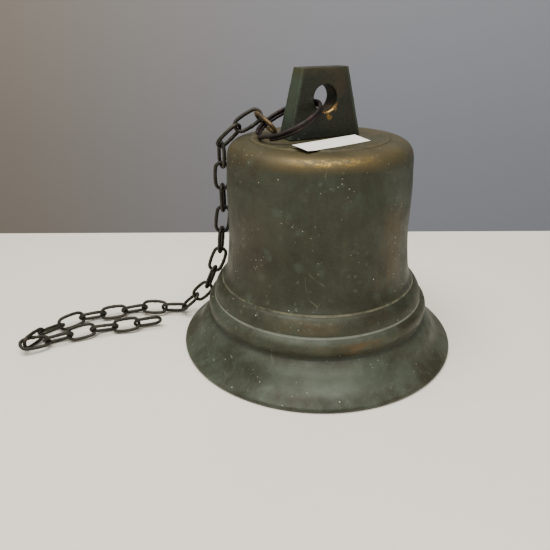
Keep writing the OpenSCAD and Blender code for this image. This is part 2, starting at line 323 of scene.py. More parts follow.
def lug_material():
    k = Mat("lug_bronze_patina")
    x, y, z = k.xyz()
    warp = k.vadd(k.obj, k.vscale(k.noise_col(80, 3), 0.008))
    col = k.mix(k.ramp(k.noise(34, 6, 0.65, warp), 0.36, 0.64), srgb(28, 32, 21), srgb(36, 34, 22))
    col = k.mix(k.ramp(k.noise(70, 6, 0.7, k.vadd(warp, (3, 1, 2))), 0.50, 0.68, 0, 0.7), col, srgb(22, 24, 17))
    col = k.mix(k.ramp(k.noise(52, 7, 0.7, k.vadd(warp, (6, 2, 9))), 0.55, 0.72, 0, 0.45), col, srgb(70, 78, 64))
    # the two sloping ends have stayed greener
    ends = k.ramp(k.add(k.math("ABSOLUTE", x), k.mul(k.math("SUBTRACT", z, 0.1513), 0.2174)), 0.0235, 0.0256)
    col = k.mix(k.mul(ends, k.ramp(k.noise(60, 5, 0.6, warp), 0.28, 0.6, 0.35, 0.95)), col, srgb(58, 70, 56))
    foot = k.mul(k.ramp(z, 0.170, 0.158), k.ramp(x, 0.004, -0.016))
    col = k.mix(k.mul(foot, 0.5), col, srgb(42, 48, 44))
    top = k.ramp(z, 0.186, 0.1955)
    col = k.mix(k.mul(top, k.ramp(k.noise(60, 5, 0.6), 0.40, 0.62, 0.1, 0.75)), col, srgb(66, 60, 34))
    cell = k.voronoi(240, vec=k.vadd(k.obj, (2, 7, 5)))
    col = k.mix(k.mul(k.ramp(cell, 0.16, 0.07), k.ramp(k.noise(50, 3), 0.54, 0.66), 0.7), col, srgb(128, 136, 120))
    pt = k.pointiness()
    edge = k.mul(k.ramp(pt, 0.53, 0.60), k.ramp(k.noise(190, 5, 0.7), 0.42, 0.64))
    col = k.mix(k.mul(edge, 0.5), col, srgb(104, 100, 66))
    col = k.mix(k.ramp(pt, 0.48, 0.43, 0, 0.6), col, srgb(24, 24, 17))
    dz = k.math("SUBTRACT", z, 0.1765)
    rr = k.math("SQRT", k.add(k.mul(x, x), k.mul(dz, dz)))

    def spot(cx, cz, r0, r1):
        a, b = k.math("SUBTRACT", x, cx), k.math("SUBTRACT", z, cz)
        return k.ramp(k.math("SQRT", k.add(k.mul(a, a), k.mul(b, b))), r1, r0)
    # brown above and beside the hole
    brown = k.mul(spot(0.006, 0.186, 0.004, 0.012), k.ramp(k.noise(70, 5, 0.6, warp), 0.28, 0.58, 0.3, 1.0))
    col = k.mix(k.mul(brown, 0.8), col, srgb(56, 40, 27))
    # hard wear at the hole's lower edge, where the ring drags: a few bright places only
    wear = k.math("MAXIMUM", spot(0.0024, 0.1648, 0.0006, 0.0028), spot(0.0064, 0.1700, 0.0004, 0.0024))
    wear = k.math("MAXIMUM", wear, k.mul(k.ramp(rr, 0.0100, 0.0088), k.ramp(rr, 0.0078, 0.0084), k.ramp(dz, -0.0025, -0.0055), k.ramp(x, -0.004, 0.002)))
    wear = k.mul(wear, k.ramp(k.noise(230, 6, 0.75), 0.42, 0.56))
    col = k.mix(k.mul(wear, 0.8), col, srgb(168, 128, 62))
    # painted shade: the inside of the hole darkened; then brass wear on its lower part, where the ring drags
    bore_shade_and_wear = k.ramp(rr, 0.0086, 0.0081)
    col = k.mix(k.mul(bore_shade_and_wear, 0.85), col, srgb(20, 22, 16))
    col = k.mix(k.mul(bore_shade_and_wear, k.ramp(dz, -0.004, -0.0072), k.ramp(k.noise(200, 4), 0.4, 0.6), 0.6), col, srgb(120, 92, 48))
    col = k.mix(k.ramp(k.noise(1000, 4, 0.7), 0.42, 0.75, 0, 0.22), col, srgb(84, 84, 64))
    rough = k.add(k.ramp(k.noise(80, 5), 0.3, 0.7, 0.44, 0.60), k.mul(wear, -0.2))
    metal = k.add(0.22, k.mul(wear, 0.6))
    h = k.add(k.mul(k.noise(330, 7, 0.7), 0.7), k.mul(k.noise(1300, 4, 0.6), 0.25),
              k.mul(k.ramp(k.voronoi(300, vec=k.vadd(k.obj, (1, 8, 3))), 0.0, 0.25, -0.6, 0.0), 0.8))
    return k.done(col, rough, metal, k.bump(h, 0.6, 0.0005), 0.4)


def rust_material(name, a, b, c, pale, metal, scale=1.0, bumpk=0.5, rough=(0.5, 0.75)):
    k = Mat(name)
    warp = k.vadd(k.obj, k.vscale(k.noise_col(220 * scale, 3), 0.003 / scale))
    col = k.mix(k.ramp(k.noise(120 * scale, 6, 0.65, warp), 0.38, 0.62), a, b)
    col = k.mix(k.ramp(k.noise(260 * scale, 6, 0.7, k.vadd(warp, (3, 4, 5))), 0.52, 0.68, 0, 0.85), col, c)
    flake = k.voronoi(700 * scale, vec=k.vadd(warp, (1, 1, 9)))
    col = k.mix(k.mul(k.ramp(flake, 0.22, 0.08), k.ramp(k.noise(160 * scale, 3), 0.5, 0.66), 0.7), col, pale)
    pt = k.pointiness()
    col = k.mix(k.mul(k.ramp(pt, 0.52, 0.60), k.ramp(k.noise(420 * scale, 5, 0.7), 0.42, 0.6), 0.6), col, pale)
    r = k.ramp(k.noise(200 * scale, 5), 0.3, 0.7, rough[0], rough[1])
    h = k.add(k.mul(k.noise(700 * scale, 6, 0.7), 0.8), k.mul(k.noise(2600 * scale, 3, 0.6), 0.3),
              k.mul(k.ramp(k.voronoi(900 * scale, vec=k.vadd(k.obj, (2, 2, 4))), 0.0, 0.3, -0.6, 0.0), 0.7))
    return k.done(col, r, metal, k.bump(h, bumpk, 0.00022 / scale), 0.4)


def paper_material():
    k = Mat("label_paper")
    col = k.mix(k.ramp(k.noise(90, 4, 0.5), 0.35, 0.7), srgb(236, 233, 222), srgb(224, 219, 205))
    col = k.mix(k.ramp(k.noise(1400, 5, 0.7), 0.55, 0.8, 0, 0.25), col, srgb(200, 194, 178))
    h = k.add(k.noise(1800, 5, 0.7), k.mul(k.noise(260, 3), 0.6))
    return k.done(col, 0.82, 0.0, k.bump(h, 0.35, 0.00008), 0.3)


M = {
    "bell": bell_material(),
    "lug": lug_material(),
    "ring": rust_material("ring_rusted_wire", srgb(36, 27, 23), srgb(22, 17, 16), srgb(60, 36, 27), srgb(104, 84, 76), 0.3, 1.0, 0.8, (0.42, 0.7)),
    "chain": rust_material("chain_tarnished_wire", srgb(44, 41, 31), srgb(30, 28, 22), srgb(58, 46, 33), srgb(124, 118, 98), 0.4, 1.0, 0.45, (0.38, 0.62)),
    "chain_brassy": rust_material("chain_end_link", srgb(96, 78, 46), srgb(54, 46, 33), srgb(70, 52, 36), srgb(150, 132, 92), 0.5, 1.0, 0.45, (0.4, 0.62)),
    "iron": rust_material("clapper_forged_iron", srgb(52, 44, 38), srgb(36, 32, 29), srgb(92, 58, 38), srgb(120, 104, 90), 0.4, 0.5, 0.7),
    "bolt": rust_material("bolt_dull_steel", srgb(96, 88, 76), srgb(70, 62, 52), srgb(110, 74, 48), srgb(160, 152, 138), 0.7, 0.7, 0.35, (0.35, 0.6)),
    "pin": rust_material("pin_dull_steel", srgb(118, 110, 96), srgb(84, 76, 64), srgb(104, 76, 52), srgb(180, 172, 156), 0.75, 0.8, 0.3, (0.32, 0.52)),
    "paper": paper_material(),
}


# ------------------------------------------------------------ mesh helpers
def make(name, verts, faces, mat, smooth=True):
    me = bpy.data.meshes.new(name)
    me.from_pydata([tuple(float(c) * MM for c in v) for v in verts], [], [tuple(int(i) for i in f) for f in faces])
    me.validate()
    me.update()
    if smooth:
        me.shade_smooth()
    o = bpy.data.objects.new(name, me)
    bpy.context.scene.collection.objects.link(o)
    o.data.materials.append(mat)
    return o


def grid_faces(nu, nv, wrap_u=False, wrap_v=False):
    f = []
    for i in range(nu if wrap_u else nu - 1):
        for j in range(nv if wrap_v else nv - 1):
            a = i * nv + j
            b = i * nv + (j + 1) % nv
            c = ((i + 1) % nu) * nv + (j + 1) % nv
            d = ((i + 1) % nu) * nv + j
            f.append((a, b, c, d))
    return f


def apply_mods(o):
    dg = bpy.context.evaluated_depsgraph_get()
    me = bpy.data.meshes.new_from_object(o.evaluated_get(dg))
    old = o.data
    mats = [m for m in old.materials]
    o.modifiers.clear()
    o.data = me
    if not me.materials:
        for m in mats:
            me.materials.append(m)
    me.shade_smooth()
    return o


def fract(p, s, octaves=4):
    return noise.fractal(Vector((p[0] * s, p[1] * s, p[2] * s)), 1.0, 2.0, octaves)


# -------------------------------------------------------------------- bell
def soften(pts, radius, steps=4):
    """Rounds each corner of a path with a small curve."""
    out = [np.array(pts[0], float)]
    for i in range(1, len(pts) - 1):
        a, b, c = (np.array(p, float) for p in pts[i - 1:i + 2])
        la, lc = np.linalg.norm(a - b), np.linalg.norm(c - b)
        r = min(radius, 0.45 * la, 0.45 * lc)
        p, q = b + (a - b) / la * r, b + (c - b) / lc * r
        for k in range(steps + 1):
            t = k / steps
            out.append((1 - t) ** 2 * p + 2 * t * (1 - t) * b + t * t * q)
    out.append(np.array(pts[-1], float))
    return out


def catmull(pts, per):
    pts = [np.array(p, float) for p in pts]
    ext = [2 * pts[0] - pts[1]] + pts + [2 * pts[-1] - pts[-2]]
    out = []
    for i in range(1, len(ext) - 2):
        p0, p1, p2, p3 = ext[i - 1:i + 3]
        for k in range(per):
            t = k / per
            out.append(0.5 * (2 * p1 + (p2 - p0) * t + (2 * p0 - 5 * p1 + 4 * p2 - p3) * t * t
                              + (3 * p1 - p0 - 3 * p2 + p3) * t ** 3))
    out.append(pts[-1])
    return out


def even(path, step):
    p = np.array(path)
    d = np.r_[0, np.cumsum(np.linalg.norm(np.diff(p, axis=0), axis=1))]
    keep = np.r_[True, np.diff(d) > 1e-9]
    p, d = p[keep], d[keep]
    n = max(2, int(round(d[-1] / step)))
    s = np.linspace(0, d[-1], n + 1)
    return np.stack([np.interp(s, d, p[:, k]) for k in range(p.shape[1])], -1)


def build_bell():
    mr, wr, H = 101.5, 63.8, 151.3
    flare = catmull([(mr - 0.15, 2.9), (mr - 4.6, 6.4), (mr - 9.2, 10.2), (mr - 12.2, 14), (mr - 14.6, 18.2),
                     (mr - 18, 22.3), (mr - 21.2, 25.4)], 6)
    low_band = catmull([(mr - 21.7, 26.9), (mr - 20.6, 29.5), (mr - 20.1, 32.6), (mr - 20.8, 35.6),
                        (mr - 23.0, 37.9), (mr - 24.9, 38.9)], 6)
    up_band = catmull([(mr - 24.8, 40.1), (mr - 25.0, 42.2), (mr - 26.0, 45.2), (mr - 27.6, 48),
                       (mr - 29.4, 50.2), (mr - 30.6, 50.9)], 6)
    waist = catmull([(mr - 31.5, 52.9), (wr + 3.9, 57), (wr + 2.4, 63), (wr + 1.4, 71), (wr + 0.5, 81), (wr, 92),
                     (wr + 0.1, 102), (wr + 0.2, 112), (wr, 122), (wr - 0.6, 132.8)], 8)
    shoulder = []
    for i in range(1, 40):
        a = math.radians(i * 90 / 40)
        shoulder.append((46.8 + (wr - 0.6 - 46.8) * math.cos(a) ** (2 / 3.2),
                         132.8 + (H - 0.9 - 132.8) * math.sin(a) ** (2 / 3.2)))
    lip = [(92.6, 0.05), (98.2, 0.0), (99.8, 0.15), (100.9, 0.7), (101.45, 1.6), (101.5, 2.3)]
    outer = lip + [tuple(p) for p in flare] + [tuple(p) for p in low_band] + [tuple(p) for p in up_band] \
        + [tuple(p) for p in waist] + shoulder + [(47.3, H - 0.95), (46.9, H - 1.0), (46.7, H - 0.55), (46.3, H - 0.12),
                                                  (45.6, H), (30, H), (16, H), (5.3, H)]
    bore = [(5.3, H - 4), (5.3, H - 8.3)]
    inside = catmull([(5.8, H - 8.3), (20, H - 8.3), (40, H - 8.4), (47, 141.4), (52.4, 137), (55.5, 130), (57, 120),
                      (57.6, 106), (57.8, 92), (58.6, 78), (60, 64), (62.2, 52), (65.4, 42), (70, 32),
                      (76, 23), (82, 15), (88, 7), (91.5, 1.9), (92.5, 0.1)], 6)
    path = soften(outer, 0.35, 2) + [np.array(p) for p in bore] + inside
    prof = even(path, 0.95)
    # rebuild the profile: the outside sampled finer (0.8) than the bore (2.0) and the inside (1.6)
    fine = np.array([np.array(p, float) for p in soften(outer, 0.3, 2)])
    d_all = [prof]
    band = fine[(fine[:, 1] > 24) & (fine[:, 1] < 55)]
    prof2 = []
    for p in even(soften(outer, 0.35, 2), 0.8):
        prof2.append(p)
    for p in even([np.array(q, float) for q in [(5.3, H), (5.3, H - 8.3)]], 2.0)[1:]:
        prof2.append(p)
    for p in even(inside, 1.6)[1:]:
        prof2.append(p)
    prof = np.array(prof2)
    n = len(prof)
    seg = 420
    ang = np.linspace(0, 2 * np.pi, seg, endpoint=False)
    # outward normals of the profile
    tang = np.gradient(prof, axis=0)
    nrm = np.stack([tang[:, 1], -tang[:, 0]], -1)
    nrm /= np.maximum(np.linalg.norm(nrm, axis=1), 1e-9)[:, None]
    verts = np.zeros((n, seg, 3))
    amp = np.ones(n) * 0.10
    amp[(prof[:, 1] < 4)] = 0.0
    amp[(prof[:, 1] > H - 1.4) & (prof[:, 0] < 47.5)] = 0.03
    amp[(prof[:, 0] < 30)] = 0.0
    for i in range(n):
        r, z = prof[i]
        x, y = r * np.cos(ang), r * np.sin(ang)
        if amp[i] > 0:
            d = np.array([fract((a, b, z), 0.022, 3) * 1.3 + fract((a + 40, b, z), 0.13, 3) * 0.45
                          for a, b in zip(x, y)])
            d = np.clip(d, -2.5, 1.0) * amp[i]
            # small casting pits
            pit = np.array([noise.cell(Vector((a * 0.30, b * 0.30, z * 0.30))) for a, b in zip(x, y)])
            d = d - 0.06 * (pit > 0.97)
        else:
            d = np.zeros(seg)
        dr, dz = nrm[i]
        rr = r + d * dr
        verts[i, :, 0] = rr * np.cos(ang)
        verts[i, :, 1] = rr * np.sin(ang)
        verts[i, :, 2] = z + d * dz
    faces = grid_faces(n, seg, wrap_u=True, wrap_v=True)
    o = make("bell_body", verts.reshape(-1, 3), faces, M["bell"])
    bm = bmesh.new()
    bm.from_mesh(o.data)
    bmesh.ops.recalc_face_normals(bm, faces=bm.faces)
    bm.to_mesh(o.data)
    bm.free()
    o.data.shade_smooth()
    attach(o, "bell")
    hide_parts("bell_shell")


build_bell()


# --------------------------------------------------- solid by cut and remesh
def solid_from(bm, name, mat, voxel, smooth, passes=1, jitter=0.0, js=0.1):
    me = bpy.data.meshes.new(name)
    bm.to_mesh(me)
    bm.free()
    o = bpy.data.objects.new(name, me)
    bpy.context.scene.collection.objects.link(o)
    me.materials.append(mat)
    r = o.modifiers.new("remesh", "REMESH")
    r.mode = "VOXEL"
    r.voxel_size = voxel * MM
    s = o.modifiers.new("smooth", "SMOOTH")
    s.factor = 0.5
    s.iterations = smooth
    apply_mods(o)
    if jitter:
        me = o.data
        n = len(me.vertices)
        co = np.empty(n * 3)
        no = np.empty(n * 3)
        me.vertices.foreach_get("co", co)
        me.vertex_normals.foreach_get("vector", no)
        co, no = co.reshape(-1, 3), no.reshape(-1, 3)
        d = np.array([fract(p * 1000, js, 4) for p in co]) * jitter * MM
        d = np.minimum(d, 0.3 * jitter * MM)
        co += no * d[:, None]
        me.vertices.foreach_set("co", co.reshape(-1))
        me.update()
    o.data.shade_smooth()
    return o


def prism_y(bm, pts, y0, y1):
    a = [bm.verts.new((p[0] * MM, y0 * MM, p[1] * MM)) for p in pts]
    b = [bm.verts.new((p[0] * MM, y1 * MM, p[1] * MM)) for p in pts]
    n = len(pts)
    bm.faces.new(a)
    bm.faces.new(b[::-1])
    for i in range(n):
        bm.faces.new((a[i], b[i], b[(i + 1) % n], a[(i + 1) % n]))


def boolean(base, cutter, op="DIFFERENCE"):
    m = base.modifiers.new("b", "BOOLEAN")
    m.operation = op
    m.solver = "EXACT"
    m.object = cutter
    dg = bpy.context.evaluated_depsgraph_get()
    me = bpy.data.meshes.new_from_object(base.evaluated_get(dg))
    base.modifiers.clear()
    base.data = me
    bpy.data.objects.remove(cutter)
    return base


def temp(name, bm):
    bmesh.ops.recalc_face_normals(bm, faces=bm.faces)
    me = bpy.data.meshes.new(name)
    bm.to_mesh(me)
    bm.free()
    o = bpy.data.objects.new(name, me)
    bpy.context.scene.collection.objects.link(o)
    return o


def lathe_bm(prof, seg, axis="Z", at=(0, 0, 0)):
    """A closed turned solid from (radius, height) points that begin and end on the axis."""
    bm = bmesh.new()
    rings = []
    for r, z in prof:
        if r < 1e-6:
            rings.append([(0, 0, z)])
        else:
            rings.append([(r * math.cos(2 * math.pi * i / seg), r * math.sin(2 * math.pi * i / seg), z) for i in range(seg)])

    def place(p):
        if axis == "Y":
            p = (p[0], p[2], -p[1])
        elif axis == "X":
            p = (p[2], p[1], -p[0])
        return tuple((p[k] + at[k]) * MM for k in range(3))
    vs = [[bm.verts.new(place(p)) for p in ring] for ring in rings]
    for a, b in zip(vs[:-1], vs[1:]):
        if len(a) == 1 and len(b) == 1:
            continue
        for i in range(seg):
            j = (i + 1) % seg
            if len(a) == 1:
                bm.faces.new((a[0], b[i], b[j]))
            elif len(b) == 1:
                bm.faces.new((a[i], b[0], a[j]))
            else:
                bm.faces.new((a[i], b[i], b[j], a[j]))
    bmesh.ops.recalc_face_normals(bm, faces=bm.faces)
    return bm


# --------------------------------------------------------------------- lug
def build_lug():
    H = 151.3
    bm = bmesh.new()
    # a tapered block, square at the foot
    z0, z1 = H, H + 43.7
    lo = [(-26, -9, z0), (26, -9, z0), (26, 9, z0), (-26, 9, z0)]
    hi = [(-16.5, -6.5, z1), (16.5, -6.5, z1), (16.5, 6.5, z1), (-16.5, 6.5, z1)]
    a = [bm.verts.new(tuple(c * MM for c in p)) for p in lo]
    b = [bm.verts.new(tuple(c * MM for c in p)) for p in hi]
    bm.faces.new(a[::-1])
    bm.faces.new(b)
    for i in range(4):
        bm.faces.new((a[i], a[(i + 1) % 4], b[(i + 1) % 4], b[i]))
    base = temp("lug_tmp", bm)
    # hole with a worn, opened mouth at each end
    m = 7.56
    prof = [(0, -20), (10.9, -20), (10.9, -m - 2.0), (8.9, -m), (8.3, -m + 0.7), (8.06, -m + 1.4), (8.0, -m + 2.4),
            (8.0, m - 2.4), (8.06, m - 1.4), (8.3, m - 0.7), (8.9, m), (10.9, m + 2.0), (10.9, 20), (0, 20)]
    cut = temp("lug_cut", lathe_bm(prof, 96, "Y", (0, 0, 176.5)))
    boolean(base, cut)
    bm = bmesh.new()
    bm.from_mesh(base.data)
    bpy.data.objects.remove(base)
    o = solid_from(bm, "lug_block", M["lug"], 0.42, 7, jitter=0.16, js=0.09)
    # its foot stays flat on the crown
    me = o.data
    co = np.empty(len(me.vertices) * 3)
    me.vertices.foreach_get("co", co)
    co = co.reshape(-1, 3)
    co[:, 2] = np.maximum(co[:, 2], (H + 0.02) * MM)
    co[:, 2] = np.minimum(co[:, 2], 194.98 * MM)
    me.vertices.foreach_set("co", co.reshape(-1))
    me.update()
    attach(o, "bell")
    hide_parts("crown_lug")


build_lug()


# ----------------------------------------------------- bolt, washer and nuts
def hexnut(name, af, z0, z1, bore, mat, body, node, dome=0.0):
    """A hex nut with turned chamfers, built as rings that run from hexagon to circle."""
    seg = 72
    R = af / math.sqrt(3)

    def ring(z, cap):
        out = []
        for i in range(seg):
            t = 2 * math.pi * i / seg
            k = (t + math.pi / 6) % (math.pi / 3) - math.pi / 6
            r = (af / 2) / math.cos(k)
            r = min(r, cap)
            out.append((r * math.cos(t), r * math.sin(t), z))
        return out
    cc = af / 2 * 0.97
    rows = []
    hh = z1 - z0
    ch = R - cc
    rows.append(ring(z0, bore + 0.6))
    rows.append(ring(z0, cc * 0.98))
    rows.append(ring(z0 + 0.12, cc))
    for k in range(1, 7):
        rows.append(ring(z0 + 0.12 + ch * 0.55 * k / 6, cc + ch * k / 6))
    for k in range(1, 4):
        rows.append(ring(z0 + 0.12 + ch * 0.55 + (hh - 0.24 - ch * 1.1) * k / 4, R + 1))
    for k in range(6, 0, -1):
        rows.append(ring(z1 - 0.12 - ch * 0.55 * k / 6, cc + ch * k / 6))
    rows.append(ring(z1 - 0.12, cc))
    rows.append(ring(z1, cc * 0.98))
    rows.append(ring(z1, bore + 0.6))
    rows.append(ring(z1 - 0.6, bore))
    rows.append(ring(z0 + 0.6, bore))
    verts = [p for r in rows for p in r]
    o = make(name, verts, grid_faces(len(rows), seg, wrap_u=True, wrap_v=True), mat)
    bm = bmesh.new()
    bm.from_mesh(o.data)
    bmesh.ops.recalc_face_normals(bm, faces=bm.faces)
    bm.to_mesh(o.data)
    bm.free()
    es = o.modifiers.new("split", "EDGE_SPLIT")
    es.split_angle = math.radians(24)
    apply_mods(o)
    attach(o, body)
    if node:
        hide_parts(node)
    return o


hexnut("eyebolt_hex_nut", 17, 133, 141, 5.1, M["bolt"], "bell", "eyebolt_nut")


def turned_piece(name, prof, seg, mat, body, node, axis="Z", at=(0, 0, 0), split=40):
    o = temp(name, lathe_bm(prof, seg, axis, at))
    o.name = name
    o.data.name = name
    o.data.materials.append(mat)
    o.data.shade_smooth()
    es = o.modifiers.new("split", "EDGE_SPLIT")
    es.split_angle = math.radians(split)
    apply_mods(o)
    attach(o, body)
    if node:
        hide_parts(node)
    return o


def ring_profile(r0, r1, z0, z1, c):
    return [(r0, z0 + c), (r0 + c, z0), (r1 - c, z0), (r1 - 0.3 * c, z0 + 0.3 * c), (r1, z0 + c), (r1, z1 - c),
            (r1 - 0.3 * c, z1 - 0.3 * c), (r1 - c, z1), (r0 + c, z1), (r0, z1 - c)]


def closed_ring(name, prof, seg, mat, body, node):
    verts = []
    for r, z in prof:
        for i in range(seg):
            t = 2 * math.pi * i / seg
            verts.append((r * math.cos(t), r * math.sin(t), z))
    o = make(name, verts, grid_faces(len(prof), seg, wrap_u=True, wrap_v=True), mat)
    bm = bmesh.new()
    bm.from_mesh(o.data)
    bmesh.ops.recalc_face_normals(bm, faces=bm.faces)
    bm.to_mesh(o.data)
    bm.free()
    es = o.modifiers.new("split", "EDGE_SPLIT")
    es.split_angle = math.radians(40)
    apply_mods(o)
    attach(o, body)
    if node:
        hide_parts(node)
    return o


closed_ring("eyebolt_flat_washer", ring_profile(5.3, 13, 141.02, 142.98, 0.35), 96, M["bolt"], "bell", "eyebolt_washer")


def thread_rod(name, r, depth, pitch, z0, z1, mat, body):
    """A rod with a real screw thread."""
    per = 40
    turns = (z1 - z0) / pitch
    rows = int(turns * 10)
    verts = []
    for i in range(rows + 1):
        z = z0 + (z1 - z0) * i / rows
        for j in range(per):
            t = 2 * math.pi * j / per
            ph = ((z - z0) / pitch - j / per) % 1.0
            d = depth * (1 - abs(2 * ph - 1))
            fade = min(1, (z - z0) / 1.0, (z1 - z) / 1.0)
            rr = r - depth + d * max(0, fade)
            verts.append((rr * math.cos(t), rr * math.sin(t), z))
    n = len(verts)
    faces = grid_faces(rows + 1, per, wrap_v=True)
    verts.append((0, 0, z0))
    verts.append((0, 0, z1))
    for j in range(per):
        faces.append((n, (j + 1) % per, j))
        faces.append((n + 1, rows * per + j, rows * per + (j + 1) % per))
    o = make(name, verts, faces, mat)
    bm = bmesh.new()
    bm.from_mesh(o.data)
    bmesh.ops.recalc_face_normals(bm, faces=bm.faces)
    bm.to_mesh(o.data)
    bm.free()
    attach(o, body)
    return o


def build_eyebolt():
    # forged eye with its collar
    a = temp("eye_a", lathe_bm([(0, -3), (7.4, -3), (8, -2.4), (8, 2.4), (7.4, 3), (0, 3)], 72, "Y", (0, 0, 118)))
    bm = bmesh.new()
    prism_y(bm, [(-7, 118), (7, 118), (6.4, 130.4), (-6.4, 130.4)], -3, 3)
    b = temp("eye_b", bm)
    boolean(a, b, "UNION")
    c = temp("eye_c", lathe_bm([(0, 129.9), (6.9, 129.9), (7.5, 130.5), (7.5, 132.5), (7.1, 132.98), (0, 132.98)], 72))
    boolean(a, c, "UNION")
    d = temp("eye_d", lathe_bm([(0, -8), (3.06, -8), (3.06, 8), (0, 8)], 64, "Y", (0, 0, 118)))
    boolean(a, d)
    bm = bmesh.new()
    bm.from_mesh(a.data)
    bpy.data.objects.remove(a)
    o = solid_from(bm, "eyebolt_eye", M["bolt"], 0.3, 3, jitter=0.05, js=0.3)
    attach(o, "bell")
    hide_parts("clapper_eyebolt")
    thread_rod("eyebolt_screw", 4.8, 0.55, 1.5, 132.9, 162, M["bolt"], "bell")


build_eyebolt()


# ----------------------------------------------------------------- clapper
def build_clapper():
    a = temp("ck_a", lathe_bm([(0, -2), (7.0, -2), (7.5, -1.4), (7.5, 1.4), (7.0, 2), (0, 2)], 64, "Y", (0, 5.4, 118)))
    b = temp("ck_b", lathe_bm([(0, -2), (7.0, -2), (7.5, -1.4), (7.5, 1.4), (7.0, 2), (0, 2)], 64, "Y", (0, -5.4, 118)))
    boolean(a, b, "UNION")
    for s in (-1, 1):
        bm = bmesh.new()
        prism_y(bm, [(-6, 99), (6, 99), (7.0, 118), (-7.0, 118)], s * 5.4 - 2, s * 5.4 + 2)
        boolean(a, temp("ck_c", bm), "UNION")
    bm = bmesh.new()
    prism_y(bm, [(-6, 97.4), (-3.6, 95.2), (3.6, 95.2), (6, 97.4), (6, 104.6), (-6, 104.6)], -7.3, 7.3)
    boolean(a, temp("ck_d", bm), "UNION")
    rod = [(0, 14.2), (3.6, 14.2), (4, 14.6), (4, 47.5), (4.9, 48.0), (5.0, 49), (4.85, 60), (4.7, 75), (4.9, 88),
           (5.6, 93), (6.4, 96), (6.4, 99), (0, 99)]
    boolean(a, temp("ck_e", lathe_bm(rod, 64)), "UNION")
    boolean(a, temp("ck_f", lathe_bm([(0, -12), (3.03, -12), (3.03, 12), (0, 12)], 64, "Y", (0, 0, 118))))
    bm = bmesh.new()
    bm.from_mesh(a.data)
    bpy.data.objects.remove(a)
    o = solid_from(bm, "clapper_forging", M["iron"], 0.36, 4, jitter=0.14, js=0.16)
    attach(o, "clapper")
    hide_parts("clapper_fork")
    # ball with hammered facets and a flat struck each side
    prof = [(4.05, 15 - 0.2), (4.5, 15.0), (5.2, 15.0)]
    for i in range(1, 60):
        t = math.radians(19 + (180 - 38) * i / 60)
        prof.append((16 * math.sin(t), 16 * math.cos(t)))
    prof += [(5.2, -15.0), (4.5, -15.0), (4.05, -14.8)]
    seg = 120
    verts = []
    for r, z in prof:
        for i in range(seg):
            t = 2 * math.pi * i / seg
            p = np.array((r * math.cos(t), r * math.sin(t), z))
            q = p * (1 + 0.0)
            if r > 6:
                d = 0.14 * (fract(p, 0.10, 3) - 0.4) - 0.10 * max(0, fract(p + 31, 0.26, 2))
                wear = max(0.0, abs(p[0]) / 16 - 0.90)
                d -= wear * 3.4
                q = p * (1 + min(0, d) / np.linalg.norm(p))
            verts.append((q[0], q[1], q[2] + 33))
    o = make("clapper_ball_iron", verts, grid_faces(len(prof), seg, wrap_u=True, wrap_v=True), M["iron"])
    bm = bmesh.new()
    bm.from_mesh(o.data)
    bmesh.ops.recalc_face_normals(bm, faces=bm.faces)
    bm.to_mesh(o.data)
    bm.free()
    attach(o, "clapper")
    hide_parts("clapper_ball")
    # nut under the ball, with a domed end
    seg = 72
    af = 13.0
    rows = []
    dome = [(0.02, 9.0), (2.0, 9.12), (3.6, 9.6), (4.8, 10.5), (5.6, 11.6), (6.0, 12.1)]
    for r, z in dome:
        rows.append([(r * math.cos(2 * math.pi * i / seg), r * math.sin(2 * math.pi * i / seg), z) for i in range(seg)])

    def hexrow(z, cap):
        out = []
        for i in range(seg):
            t = 2 * math.pi * i / seg
            q = t % (math.pi / 3) - math.pi / 6
            r = min((af / 2) / math.cos(q), cap)
            out.append((r * math.cos(t), r * math.sin(t), z))
        return out
    for z, c in ((12.2, 6.35), (12.5, 6.8), (12.9, 7.2), (13.3, 7.6), (15, 7.6), (17.0, 7.6), (17.4, 7.1), (17.75, 6.6), (17.95, 6.2)):
        rows.append(hexrow(z, c))
    rows.append([(4.1 * math.cos(2 * math.pi * i / seg), 4.1 * math.sin(2 * math.pi * i / seg), 17.97) for i in range(seg)])
    verts = [p for r in rows for p in r]
    faces = grid_faces(len(rows), seg, wrap_v=True)
    n = len(verts)
    verts.append((0, 0, 8.98))
    for j in range(seg):
        faces.append((n, (j + 1) % seg, j))
    last = (len(rows) - 1) * seg
    verts.append((0, 0, 17.97))
    for j in range(seg):
        faces.append((n + 1, last + j, last + (j + 1) % seg))
    o = make("ball_cap_nut", verts, faces, M["bolt"])
    bm = bmesh.new()
    bm.from_mesh(o.data)
    bmesh.ops.recalc_face_normals(bm, faces=bm.faces)
    bm.to_mesh(o.data)
    bm.free()
    es = o.modifiers.new("split", "EDGE_SPLIT")
    es.split_angle = math.radians(26)
    apply_mods(o)
    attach(o, "clapper")
    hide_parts("ball_nut")


build_clapper()


# ---------------------------------------------------------- tubes and wires
def frames_along(path, closed=False):
    p = np.array(path, float)
    n = len(p)
    t = (np.roll(p, -1, 0) - np.roll(p, 1, 0)) if closed else np.gradient(p, axis=0)
    t /= np.linalg.norm(t, axis=1)[:, None]
    ref = np.array((0, 0, 1.0)) if abs(t[0][2]) < 0.9 else np.array((1.0, 0, 0))
    u = np.cross(t[0], ref)
    u /= np.linalg.norm(u)
    U = [u]
    for i in range(1, n):
        v = U[-1] - t[i] * np.dot(U[-1], t[i])
        U.append(v / np.linalg.norm(v))
    U = np.array(U)
    V = np.cross(t, U)
    return p, t, U, V


